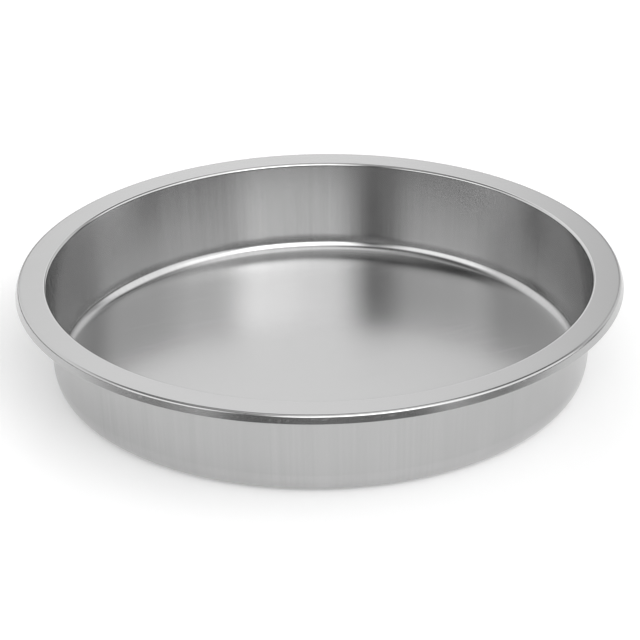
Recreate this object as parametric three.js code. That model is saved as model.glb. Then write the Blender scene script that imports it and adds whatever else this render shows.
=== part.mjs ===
// Round food pan for a chafing dish: one blank of stainless sheet, deep drawn into a shallow
// tapered bowl, with a flat rim turned out around its mouth and a short lip turned down at the edge.
// Millimetres, +Z up. The origin is the centre of the underside, on the surface the pan stands on.

import * as THREE from 'three';

// Driving dimensions, each free to change by itself.
const mouthDiameter = 350;     // across the mouth, where the line of the inner wall meets the rim's top
const panDepth = 66;           // from the underside of the base up to the rim's top
const rimWidth = 20;           // from the mouth out to the edge of the lip
const sheetThickness = 0.8;    // of the drawn sheet, the same all over
const wallDraft = 2.8;         // degrees that the wall leans outward
const baseCornerRadius = 10.6; // inside, between floor and wall
const rimBendRadius = 1.9;     // on the upper face, where the wall turns out into the rim
const lipBendRadius = 2.1;     // on the upper face, where the rim turns down into the lip
const lipDrop = 5.5;           // from the rim's top down to the lip's outer edge
const lipFlare = 18;           // degrees that the lip leans outward

// How finely the round shapes are divided.
const stepsAround = 96;
const stepsInCorner = 6;
const stepsInBend = 4;

// Worked out from the driving dimensions.
const draft = THREE.MathUtils.degToRad(wallDraft);
const flare = THREE.MathUtils.degToRad(lipFlare);
const lipEdgeRadius = mouthDiameter / 2 + rimWidth;

// The inner wall is a straight line that leans out by the draft and reaches the mouth at the rim's top.
function innerWallRadius(height) {
  return mouthDiameter / 2 - (panDepth - height) * Math.tan(draft);
}

// Each bend keeps one centre for both faces of the sheet, so its thickness is even all the way.
function bendCentres() {
  const cornerHeight = sheetThickness + baseCornerRadius;
  const corner = new THREE.Vector2(
    innerWallRadius(cornerHeight) - baseCornerRadius / Math.cos(draft),
    cornerHeight,
  );

  const rimBendHeight = panDepth - rimBendRadius;
  const rimBend = new THREE.Vector2(
    innerWallRadius(rimBendHeight) + rimBendRadius / Math.cos(draft),
    rimBendHeight,
  );

  const lipReach = lipBendRadius * Math.cos(flare) + lipLength() * Math.sin(flare);
  const lipBend = new THREE.Vector2(lipEdgeRadius - lipReach, panDepth - lipBendRadius);

  return { corner, rimBend, lipBend };
}

// Length of the straight lip, from the end of its bend to its edge.
function lipLength() {
  const dropInBend = lipBendRadius * (1 - Math.sin(flare));
  return (lipDrop - dropInBend) / Math.cos(flare);
}

// Points of a circular arc from one angle to another, both ends included.
function arc(centre, radius, from, to, steps) {
  const points = [];
  for (let i = 0; i <= steps; i++) {
    const angle = from + ((to - from) * i) / steps;
    points.push(new THREE.Vector2(
      centre.x + radius * Math.cos(angle),
      centre.y + radius * Math.sin(angle),
    ));
  }
  return points;
}

// One face of the sheet in section, from the axis out to the lip's edge. A depth of 0 gives the
// face that food touches, and the sheet's thickness gives the face underneath.
function sheetFace(depth) {
  const { corner, rimBend, lipBend } = bendCentres();
  const down = -Math.PI / 2;
  const up = Math.PI / 2;
  const towardsAxis = Math.PI - draft;

  const cornerArc = arc(corner, baseCornerRadius + depth, down, -draft, stepsInCorner);
  const rimArc = arc(rimBend, rimBendRadius - depth, towardsAxis, up, stepsInBend);
  const lipArc = arc(lipBend, lipBendRadius - depth, up, flare, stepsInBend);

  const bendEnd = lipArc[lipArc.length - 1];
  const alongLip = new THREE.Vector2(Math.sin(flare), -Math.cos(flare));
  const lipEnd = alongLip.multiplyScalar(lipLength()).add(bendEnd);
  const centreOfBase = new THREE.Vector2(0, sheetThickness - depth);

  return [centreOfBase, ...cornerArc, ...rimArc, ...lipArc, lipEnd];
}

// The closed section, out along the underside and back along the upper face, turned about the axis.
function panGeometry() {
  const section = [...sheetFace(sheetThickness), ...sheetFace(0).reverse()];
  return new THREE.LatheGeometry(section, stepsAround).rotateX(Math.PI / 2);
}

const satinStainless = new THREE.MeshStandardMaterial({
  color: 0xb4b5b6,
  roughness: 0.34,
  metalness: 1,
});

const pan = new THREE.Mesh(panGeometry(), satinStainless);
pan.name = 'pan';

const foodPan = new THREE.Group();
foodPan.add(pan);

export default foodPan;
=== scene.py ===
import math

import bmesh
import bpy
from mathutils import Matrix, Vector


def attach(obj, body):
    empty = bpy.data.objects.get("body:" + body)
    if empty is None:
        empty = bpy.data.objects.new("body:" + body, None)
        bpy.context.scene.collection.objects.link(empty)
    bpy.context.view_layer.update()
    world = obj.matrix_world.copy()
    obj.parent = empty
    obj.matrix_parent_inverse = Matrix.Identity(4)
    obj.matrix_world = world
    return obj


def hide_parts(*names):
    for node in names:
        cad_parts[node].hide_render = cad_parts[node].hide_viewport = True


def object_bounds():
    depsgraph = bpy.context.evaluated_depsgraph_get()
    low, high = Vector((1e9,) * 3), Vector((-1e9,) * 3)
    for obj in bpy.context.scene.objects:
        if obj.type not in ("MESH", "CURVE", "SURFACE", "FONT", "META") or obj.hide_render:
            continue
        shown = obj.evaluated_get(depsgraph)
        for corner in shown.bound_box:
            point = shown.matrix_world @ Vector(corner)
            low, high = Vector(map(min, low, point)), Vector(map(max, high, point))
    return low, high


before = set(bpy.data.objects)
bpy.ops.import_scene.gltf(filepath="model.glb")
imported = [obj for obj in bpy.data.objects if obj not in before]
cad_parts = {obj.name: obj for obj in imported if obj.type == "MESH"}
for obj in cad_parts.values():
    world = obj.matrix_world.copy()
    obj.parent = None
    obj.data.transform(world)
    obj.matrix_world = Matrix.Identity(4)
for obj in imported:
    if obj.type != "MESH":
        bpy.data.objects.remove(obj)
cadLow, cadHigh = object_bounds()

mm = 0.001


def linearColour(hexText):
    # sRGB hex to the linear numbers that shader sockets take
    channels = [int(hexText[i:i + 2], 16) / 255 for i in (1, 3, 5)]
    return [c / 12.92 if c <= 0.04045 else ((c + 0.055) / 1.055) ** 2.4 for c in channels] + [1.0]


# The CAD part gives the pan's overall size, and these give the shape of the drawn section between. Stations
# number the section: 0 to 1 is the floor, 1 to 2 the corner, 2 to 3 the wall, 3 to 4 the mouth bend, 4 to 5 the
# rim, 5 to 6 the lip bend and 6 to 7 the lip, on both faces alike.
lastStation = 7
pan = {
    "mouthRadius": 175 * mm,   # where the line of the inner wall meets the rim's top
    "sheet": 0.8 * mm,
    "wallDraft": 2.8,          # degrees
    "corner": [                # from the floor up to the wall, eased at both ends
        {"radius": 220 * mm, "turn": 4, "station": (0.9, 0.95)},
        {"radius": 30 * mm, "turn": 8, "station": (0.95, 1.05)},
        {"radius": 9 * mm, "turn": 65.2, "station": (1.05, 1.85)},
        {"radius": 30 * mm, "turn": 10, "station": (1.85, 2)},
    ],
    "rimBend": 1.9 * mm,       # on the upper face
    "lipBend": 2.1 * mm,
    "lipDrop": 5.5 * mm,
    "lipFlare": 18,            # degrees
    "edgeRound": 0.2 * mm,     # the trimmed edge is broken, not left sharp
    "stepsAround": 320,
    "parts": {"floor": 12, "wall": 8, "rim": 3, "lip": 2},
    "steps": {"mouthBend": 12, "lipBend": 10, "insideBend": 8, "edge": 3},
    "cornerStep": 4,           # degrees, with three steps more on each arc
    "guard": 0.4 * mm,         # the short step at each end of a flat
    "lipGuard": 0.2 * mm,
    "edgeGuard": 0.05 * mm,
}


def countStations(bm, vertsBefore, station):
    # numbers the newest points along the section, from the first station to the second
    layer = bm.verts.layers.float["station"]
    newVerts = list(bm.verts)[vertsBefore:]
    for i, vert in enumerate(newVerts, 1):
        vert[layer] = station[0] + (station[1] - station[0]) * i / len(newVerts)


def straight(bm, vert, end, station, guard, parts=1):
    # draws on from vert to end, with a short step at each end so that flats stay flat when shaded smooth
    vertsBefore = len(bm.verts)
    start = vert.co.copy()
    way = Vector(end) - start
    if way.length > 3 * guard:
        inner = way.length - 2 * guard
        marks = [guard + inner * i / parts for i in range(parts + 1)] + [way.length]
    else:
        marks = [way.length]
    for mark in marks:
        vert = bmesh.ops.extrude_vert_indiv(bm, verts=[vert])["verts"][0]
        vert.co = start + way * (mark / way.length)
    countStations(bm, vertsBefore, station)
    return vert


def bend(bm, vert, centre, degrees, steps, station):
    # draws on from vert round a centre; positive turns from +X towards +Z
    vertsBefore = len(bm.verts)
    turned = bmesh.ops.spin(
        bm, geom=[vert], cent=centre, axis=(0, -1, 0), angle=math.radians(degrees), steps=steps,
        use_merge=False, use_normal_flip=False, use_duplicate=False,
    )
    countStations(bm, vertsBefore, station)
    return [v for v in turned["geom_last"] if isinstance(v, bmesh.types.BMVert)][0]


def inward(degrees):
    # the way that the food side faces where the section has turned up by so many degrees
    angle = math.radians(degrees)
    return Vector((-math.sin(angle), 0, math.cos(angle)))


def cornerCentres(p, rimTop):
    # the centres of the corner's arcs, each going on from the one before
    centres = []
    turned = 0
    point = Vector((0, 0, p["sheet"]))
    for arc in p["corner"]:
        centre = point + inward(turned) * arc["radius"]
        turned += arc["turn"]
        point = centre - inward(turned) * arc["radius"]
        centres.append(centre)
    # slid outwards until the last arc ends on the line of the wall
    wallFoot = p["mouthRadius"] - (rimTop - point.z) * math.tan(math.radians(p["wallDraft"]))
    slide = Vector((wallFoot - point.x, 0, 0))
    return [centre + slide for centre in centres]


def edgeCentres(p, rimTop, lipEdge):
    # centres of the bends at the mouth and at the lip, which both faces of the sheet share
    draft, flare = math.radians(p["wallDraft"]), math.radians(p["lipFlare"])
    wallRadius = p["mouthRadius"] - p["rimBend"] * math.tan(draft)
    rimCentre = Vector((wallRadius + p["rimBend"] / math.cos(draft), 0, rimTop - p["rimBend"]))
    lipLength = (p["lipDrop"] - p["lipBend"] * (1 - math.sin(flare))) / math.cos(flare)
    lipReach = p["lipBend"] * math.cos(flare) + lipLength * math.sin(flare)
    lipCentre = Vector((lipEdge - lipReach, 0, rimTop - p["lipBend"]))
    return rimCentre, lipCentre, lipLength


def drawSection(bm, p, rimTop, lipEdge):
    # the closed section in the XZ plane: out along the food side, round the cut edge, back underneath
    cornerArcs = [
        (centre, arc["turn"], 3 + round(arc["turn"] / p["cornerStep"]), arc["station"])
        for centre, arc in zip(cornerCentres(p, rimTop), p["corner"])
    ]
    firstCentre, lastCentre = cornerArcs[0][0], cornerArcs[-1][0]
    rimCentre, lipCentre, lipLength = edgeCentres(p, rimTop, lipEdge)
    draft, flare = math.radians(p["wallDraft"]), math.radians(p["lipFlare"])
    toWall = Vector((math.cos(draft), 0, -math.sin(draft)))
    outOfLip = Vector((math.cos(flare), 0, math.sin(flare)))
    downLip = Vector((math.sin(flare), 0, -math.cos(flare)))
    rimTurn, lipTurn = 90 - p["wallDraft"], 90 - p["lipFlare"]
    lipStart = lipCentre + outOfLip * p["lipBend"]
    lipTip = lipStart + downLip * lipLength
    underLip = lipTip - outOfLip * (p["sheet"] - p["edgeRound"])
    edge = p["edgeRound"]
    parts, steps, guard = p["parts"], p["steps"], p["guard"]

    # food side, from the axis out to the lip
    vert = bmesh.ops.create_vert(bm, co=(0, 0, p["sheet"]))["vert"][0]
    vert = straight(bm, vert, (firstCentre.x, 0, p["sheet"]), (0, 0.9), guard, parts["floor"])
    for centre, turn, arcSteps, station in cornerArcs:
        vert = bend(bm, vert, centre, turn, arcSteps, station)
    vert = straight(bm, vert, rimCentre - toWall * p["rimBend"], (2, 3), guard, parts["wall"])
    vert = bend(bm, vert, rimCentre, -rimTurn, steps["mouthBend"], (3, 4))
    vert = straight(bm, vert, lipCentre + Vector((0, 0, p["lipBend"])), (4, 5), guard, parts["rim"])
    vert = bend(bm, vert, lipCentre, -lipTurn, steps["lipBend"], (5, 6))
    vert = straight(bm, vert, lipTip - downLip * edge, (6, 7), p["lipGuard"], parts["lip"])

    # round the cut edge
    vert = bend(bm, vert, lipTip - downLip * edge - outOfLip * edge, -90, steps["edge"], (7, 7))
    vert = straight(bm, vert, underLip, (7, 7), p["edgeGuard"])
    vert = bend(bm, vert, underLip - downLip * edge, -90, steps["edge"], (7, 7))

    # underneath, back to the axis
    vert = straight(bm, vert, lipStart - outOfLip * p["sheet"], (7, 6), p["lipGuard"], parts["lip"])
    vert = bend(bm, vert, lipCentre, lipTurn, steps["insideBend"], (6, 5))
    underRim = rimCentre + Vector((0, 0, p["rimBend"] - p["sheet"]))
    vert = straight(bm, vert, underRim, (5, 4), guard, parts["rim"])
    vert = bend(bm, vert, rimCentre, rimTurn, steps["insideBend"], (4, 3))
    wallBottom = lastCentre + toWall * (p["corner"][-1]["radius"] + p["sheet"])
    vert = straight(bm, vert, wallBottom, (3, 2), guard, parts["wall"])
    for centre, turn, arcSteps, station in reversed(cornerArcs):
        vert = bend(bm, vert, centre, -turn, arcSteps, station[::-1])
    straight(bm, vert, (0, 0, 0), (0.9, 0), guard, parts["floor"])


def makePan(p):
    bm = bmesh.new()
    bm.verts.layers.float.new("station")
    drawSection(bm, p, cadHigh.z, cadHigh.x)
    bmesh.ops.spin(
        bm, geom=bm.verts[:] + bm.edges[:], cent=(0, 0, 0), axis=(0, 0, 1), angle=math.tau,
        steps=p["stepsAround"], use_merge=True, use_normal_flip=False, use_duplicate=False,
    )
    bmesh.ops.remove_doubles(bm, verts=bm.verts, dist=0.001 * mm)
    bmesh.ops.recalc_face_normals(bm, faces=bm.faces)
    for face in bm.faces:
        face.smooth = True
    mesh = bpy.data.meshes.new("drawnPan")
    bm.to_mesh(mesh)
    bm.free()
    piece = bpy.data.objects.new("drawnPan", mesh)
    bpy.context.scene.collection.objects.link(piece)
    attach(piece, "root")
    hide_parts("pan")
    return piece


# 18/8 stainless sheet, bright rolled and then deep drawn: a grey mirror with a soft bloom. The die leaves
# fine lines down the wall and burnishes the bends, the flats keep the faint grain of rolling, and use adds
# hairline scratches. Lines, grain and hairlines are really a few tenths of a millimetre wide, and are drawn up
# to ten times as coarse, so that they show.
steel = {
    "colour": "#b1b1b1",
    "burnished": "#bcbcbc",    # on the bends, where the die has rubbed
    "burnishedFrom": 0.22,     # roughness below which the burnished colour comes in
    "burnishedTo": 0.14,
    "finish": [                # station, roughness
        (0.0, 0.225), (0.9, 0.225), (1.1, 0.18), (1.9, 0.18), (2.1, 0.225), (2.9, 0.225),
        (3.1, 0.13), (3.9, 0.13), (4.1, 0.225), (4.9, 0.225), (5.1, 0.19), (5.9, 0.19),
        (6.1, 0.2), (6.9, 0.2), (7.0, 0.25),
    ],
    "drawnFrom": (0.9, 1.4),   # stations between which the draw lines come in
    "drawnTo": (3.6, 4.2),     # and go out
    "width": {                 # of one mark of each pattern
        "lines": 2 * mm, "bands": 13 * mm, "grain": 2 * mm, "waves": 38 * mm, "smudges": 42 * mm,
        "hairs": 1.6 * mm,
    },
    "detail": {"lines": 2, "bands": 2, "grain": 2, "waves": 1, "smudges": 4, "hairs": 0},
    "drawStretch": 0.02,       # 0.02 makes a mark 50 times as long as it is wide
    "grainStretch": 0.03,
    "hairStretch": 0.025,
    "hairAngle": 25,           # degrees round from +X that the hairlines run
    "hairRidge": (0.19, 0.25),  # hairlines are the highest ridges of their noise, above these
    "roughen": {"smudges": 0.05, "bands": 0.05, "lines": 0.03, "grain": 0.02, "hairs": 0.03},
    "cloud": {"smudges": 0.06, "bands": 0.1, "lines": 0.12, "grain": 0.04, "hairs": 0.03},
    "relief": {"lines": 0.00015 * mm, "grain": 0.00003 * mm, "waves": 0.002 * mm, "hairs": -0.00005 * mm},
}


def addNode(tree, kind, inputs, **settings):
    # inputs gives each socket a value, or the output that it is linked to
    node = tree.nodes.new("ShaderNode" + kind)
    for name, value in settings.items():
        setattr(node, name, value)
    for socket, value in inputs.items():
        if isinstance(value, bpy.types.NodeSocket):
            tree.links.new(value, node.inputs[socket])
        else:
            node.inputs[socket].default_value = value
    return node


def addPatterns(tree, patterns, weights, start):
    # the start, with each named pattern added by its weight
    whole = start
    for name, weight in weights.items():
        terms = {0: patterns[name], 1: weight, 2: whole}
        whole = addNode(tree, "Math", terms, operation="MULTIPLY_ADD").outputs[0]
    return whole


def steelPlaces(tree, s):
    # where each pattern is read: plain, drawn down the wall, rolled along X or wiped slantwise
    place = addNode(tree, "TexCoord", {}).outputs["Object"]
    level = addNode(tree, "VectorMath", {0: place, 1: (1, 1, 0)}, operation="MULTIPLY").outputs[0]
    radius = addNode(tree, "VectorMath", {0: level}, operation="LENGTH").outputs["Value"]
    height = addNode(tree, "SeparateXYZ", {0: place}).outputs["Z"]
    outward = addNode(tree, "VectorMath", {0: level}, operation="NORMALIZE").outputs[0]
    ring = {0: outward, "Scale": pan["mouthRadius"]}
    ring = addNode(tree, "VectorMath", ring, operation="SCALE").outputs[0]
    down = addNode(tree, "Math", {0: radius, 1: height}, operation="ADD").outputs[0]
    down = addNode(tree, "Math", {0: down, 1: s["drawStretch"]}, operation="MULTIPLY").outputs[0]
    down = addNode(tree, "CombineXYZ", {"Z": down}).outputs[0]
    drawn = addNode(tree, "VectorMath", {0: ring, 1: down}, operation="ADD").outputs[0]
    rolled = addNode(tree, "Mapping", {"Vector": place, "Scale": (s["grainStretch"], 1, 1)}).outputs[0]
    wiped = addNode(tree, "Mapping", {
        "Vector": place,
        "Rotation": (0, 0, math.radians(s["hairAngle"])),
        "Scale": (1 / s["hairStretch"], 1, 1),
    }, vector_type="TEXTURE").outputs[0]
    return {"lines": drawn, "bands": drawn, "grain": rolled, "waves": place, "smudges": place, "hairs": wiped}


def steelPatterns(tree, s, station):
    # each pattern is about 0 on average, and is 0 where it doesn't belong
    patterns = {}
    for name, vector in steelPlaces(tree, s).items():
        noise = addNode(tree, "TexNoise", {
            "Vector": vector, "Scale": 1 / s["width"][name], "Detail": s["detail"][name],
        }).outputs["Fac"]
        patterns[name] = addNode(tree, "Math", {0: noise, 1: 0.5}, operation="SUBTRACT").outputs[0]
    low, high = s["hairRidge"]
    ridges = {"Value": patterns["hairs"], "From Min": low, "From Max": high}
    patterns["hairs"] = addNode(tree, "MapRange", ridges).outputs[0]

    # 1 where the die has drawn the sheet, from the corner to the mouth bend, and 0 on the flats
    low, high = s["drawnFrom"]
    begun = addNode(tree, "MapRange", {"Value": station, "From Min": low, "From Max": high}).outputs[0]
    low, high = s["drawnTo"]
    unended = addNode(tree, "MapRange", {"Value": station, "From Min": high, "From Max": low}).outputs[0]
    onWall = addNode(tree, "Math", {0: begun, 1: unended}, operation="MULTIPLY").outputs[0]
    onFlats = addNode(tree, "Math", {0: 1.0, 1: onWall}, operation="SUBTRACT").outputs[0]
    for name, mask in (("lines", onWall), ("bands", onWall), ("grain", onFlats), ("hairs", onFlats)):
        patterns[name] = addNode(tree, "Math", {0: patterns[name], 1: mask}, operation="MULTIPLY").outputs[0]
    return patterns


def makeSteel(s):
    material = bpy.data.materials.new("satinStainless")
    material.use_nodes = True
    tree = material.node_tree
    shader = tree.nodes["Principled BSDF"]
    station = addNode(tree, "Attribute", {}, attribute_name="station").outputs["Fac"]
    patterns = steelPatterns(tree, s, station)

    # roughness: set by the part of the section, then worn unevenly
    share = addNode(tree, "Math", {0: station, 1: lastStation}, operation="DIVIDE").outputs[0]
    finish = addNode(tree, "ValToRGB", {"Fac": share})
    stops = finish.color_ramp.elements
    while len(stops) < len(s["finish"]):
        stops.new(0.5)
    for stop, (along, roughness) in zip(stops, s["finish"]):
        stop.position = along / lastStation
        stop.color = (roughness, roughness, roughness, 1)
    roughness = addPatterns(tree, patterns, s["roughen"], finish.outputs["Color"])

    # colour: a touch lighter on the burnished bends, and a little cloudy
    sheen = addNode(tree, "MapRange", {
        "Value": finish.outputs["Color"], "From Min": s["burnishedFrom"], "From Max": s["burnishedTo"],
    }).outputs[0]
    worn = addNode(tree, "Mix", {
        "Factor": sheen, 6: linearColour(s["colour"]), 7: linearColour(s["burnished"]),
    }, data_type="RGBA").outputs[2]
    value = addPatterns(tree, patterns, s["cloud"], 1.0)
    cloudy = addNode(tree, "HueSaturation", {"Value": value, "Color": worn}).outputs[0]

    # relief is in metres, so the bump's distance stays 1
    relief = addPatterns(tree, patterns, s["relief"], 0.0)
    bump = addNode(tree, "Bump", {"Height": relief, "Distance": 1.0}).outputs[0]

    for socket, output in (("Base Color", cloudy), ("Roughness", roughness), ("Normal", bump)):
        tree.links.new(output, shader.inputs[socket])
    shader.inputs["Metallic"].default_value = 1.0
    return material


panPiece = makePan(pan)
panPiece.data.materials.append(makeSteel(steel))
print("pan drawn:", len(panPiece.data.vertices), "vertices,", len(panPiece.data.polygons), "faces")

# Matt lacquered board: nearly white, with a faint orange peel and a little unevenness in its sheen. Its glow
# stands in for the light that a lit white table throws back.
board = {
    "colour": "#eeeeee",
    "shaded": "#ebebeb",
    "roughness": (0.55, 0.65),
    "patch": 180 * mm,         # width of an uneven patch
    "patchDetail": 2,
    "peel": 3 * mm,
    "peelDetail": 1,
    "peelDepth": 0.01 * mm,
    "glow": 0.2,
    "halfSize": 4,             # metres
    "drop": 0.2 * mm,          # below the pan's base, so that the two faces don't lie in one plane
}


def makeBoard(b):
    material = bpy.data.materials.new("lacqueredBoard")
    material.use_nodes = True
    tree = material.node_tree
    shader = tree.nodes["Principled BSDF"]
    place = addNode(tree, "TexCoord", {}).outputs["Object"]
    patches = {"Vector": place, "Scale": 1 / b["patch"], "Detail": b["patchDetail"]}
    patches = addNode(tree, "TexNoise", patches).outputs["Fac"]
    peel = {"Vector": place, "Scale": 1 / b["peel"], "Detail": b["peelDetail"]}
    peel = addNode(tree, "TexNoise", peel).outputs["Fac"]
    tone = addNode(tree, "Mix", {
        "Factor": patches, 6: linearColour(b["colour"]), 7: linearColour(b["shaded"]),
    }, data_type="RGBA").outputs[2]
    low, high = b["roughness"]
    roughness = addNode(tree, "MapRange", {"Value": patches, "To Min": low, "To Max": high}).outputs[0]
    bump = addNode(tree, "Bump", {"Height": peel, "Distance": b["peelDepth"]}).outputs[0]
    for socket, output in (("Base Color", tone), ("Roughness", roughness), ("Normal", bump)):
        tree.links.new(output, shader.inputs[socket])
    shader.inputs["Emission Color"].default_value = (1, 1, 1, 1)
    shader.inputs["Emission Strength"].default_value = b["glow"]
    return material


def makeFloor(b):
    bm = bmesh.new()
    bmesh.ops.create_grid(bm, x_segments=1, y_segments=1, size=b["halfSize"])
    bmesh.ops.translate(bm, verts=bm.verts, vec=(0, 0, -b["drop"]))
    mesh = bpy.data.meshes.new("paleFloor")
    bm.to_mesh(mesh)
    bm.free()
    floor = bpy.data.objects.new("paleFloor", mesh)
    bpy.context.scene.collection.objects.link(floor)
    floor.data.materials.append(makeBoard(b))


makeFloor(board)
print("floor laid")

view = {
    "elevation": 25.56,  # degrees above the rim
    "distance": 1.804,   # metres from the middle of the mouth
    "dip": 0.985,        # degrees that it looks below the middle of the mouth
    "roll": -0.99,
    "lens": 157.9,       # mm, with the sensor 36 mm wide
    "sensor": 36,
    "clip": (0.05, 50),
}


def makeCamera(v):
    data = bpy.data.cameras.new("camera")
    data.lens = v["lens"]
    data.sensor_width = v["sensor"]
    data.clip_start, data.clip_end = v["clip"]
    camera = bpy.data.objects.new("camera", data)
    bpy.context.scene.collection.objects.link(camera)
    elevation = math.radians(v["elevation"])
    mouthCentre = Vector((0, 0, cadHigh.z))
    back = Vector((0, -math.cos(elevation), math.sin(elevation)))
    camera.matrix_world = (
        Matrix.Translation(mouthCentre + back * v["distance"])
        @ Matrix.Rotation(math.radians(90 - v["elevation"] - v["dip"]), 4, "X")
        @ Matrix.Rotation(math.radians(v["roll"]), 4, "Z")
    )
    return camera


bpy.context.scene.camera = makeCamera(view)
print("camera set")

# A dim room with large softboxes round the pan, far enough away to light the floor evenly. Azimuth 0 is +X
# and 90 is +Y, behind the pan. All angles are degrees, and width and height are what each box spans seen from
# the pan.
room = {"ambient": 0.08, "softEdge": 15, "backdrop": 1.0}
softboxes = [
    {"name": "front key", "azimuth": -80, "elevation": 34, "width": 46, "height": 30, "brightness": 3.4},
    {"name": "above the key", "azimuth": -50, "elevation": 61, "width": 50, "height": 60, "brightness": 0.75},
    {"name": "right", "azimuth": -15, "elevation": 32, "width": 70, "height": 43, "brightness": 1.45},
    {"name": "right, behind", "azimuth": 52, "elevation": 14, "width": 38, "height": 50, "brightness": 0.95},
    {"name": "overhead", "azimuth": 0, "elevation": 90, "width": 50, "height": 60, "brightness": 0.5},
    {"name": "behind", "azimuth": 91, "elevation": 30, "width": 18, "height": 48, "brightness": 1.3},
    {"name": "left, behind", "azimuth": 147, "elevation": 29, "width": 76, "height": 37, "brightness": 1.15},
    {"name": "left, front", "azimuth": 213, "elevation": 25, "width": 42, "height": 32, "brightness": 1.7},
]


def addSoftbox(tree, towards, box, light):
    # the light so far, with a soft-edged rectangle of sky added
    turned = addNode(tree, "VectorRotate", {
        "Vector": towards,
        "Rotation": (0, -math.radians(box["elevation"]), math.radians(box["azimuth"])),
    }, rotation_type="EULER_XYZ", invert=True).outputs[0]  # the middle of the box now lies along +X
    axes = addNode(tree, "SeparateXYZ", {0: turned}).outputs
    level = addNode(tree, "VectorMath", {0: turned, 1: (1, 1, 0)}, operation="MULTIPLY").outputs[0]
    level = addNode(tree, "VectorMath", {0: level}, operation="LENGTH").outputs["Value"]
    inside = box["brightness"]
    for rise, run, span in ((axes["Y"], axes["X"], box["width"]), (axes["Z"], level, box["height"])):
        angle = addNode(tree, "Math", {0: rise, 1: run}, operation="ARCTAN2").outputs[0]
        angle = addNode(tree, "Math", {0: angle}, operation="ABSOLUTE").outputs[0]
        share = addNode(tree, "MapRange", {
            "Value": angle,
            "From Min": math.radians((span + room["softEdge"]) / 2),
            "From Max": math.radians((span - room["softEdge"]) / 2),
        }, interpolation_type="SMOOTHSTEP").outputs[0]
        inside = addNode(tree, "Math", {0: share, 1: inside}, operation="MULTIPLY").outputs[0]
    return addNode(tree, "Math", {0: inside, 1: light}, operation="ADD").outputs[0]


def makeStudio():
    world = bpy.data.worlds.new("studio")
    world.use_nodes = True
    tree = world.node_tree
    background = tree.nodes["Background"]
    towards = addNode(tree, "TexCoord", {}).outputs["Generated"]
    light = room["ambient"]
    for box in softboxes:
        light = addSoftbox(tree, towards, box, light)
    # beyond the floor the camera sees a plain pale wall, and only the pan and the floor see the softboxes
    seen = addNode(tree, "LightPath", {}).outputs["Is Camera Ray"]
    light = addNode(tree, "Mix", {"Factor": seen, "A": light, "B": room["backdrop"]}).outputs[0]
    tree.links.new(light, background.inputs["Strength"])
    background.inputs["Color"].default_value = (1, 1, 1, 1)
    return world


bpy.context.scene.world = makeStudio()
bpy.context.scene.view_settings.view_transform = "Standard"
print("light:", len(softboxes), "softboxes")
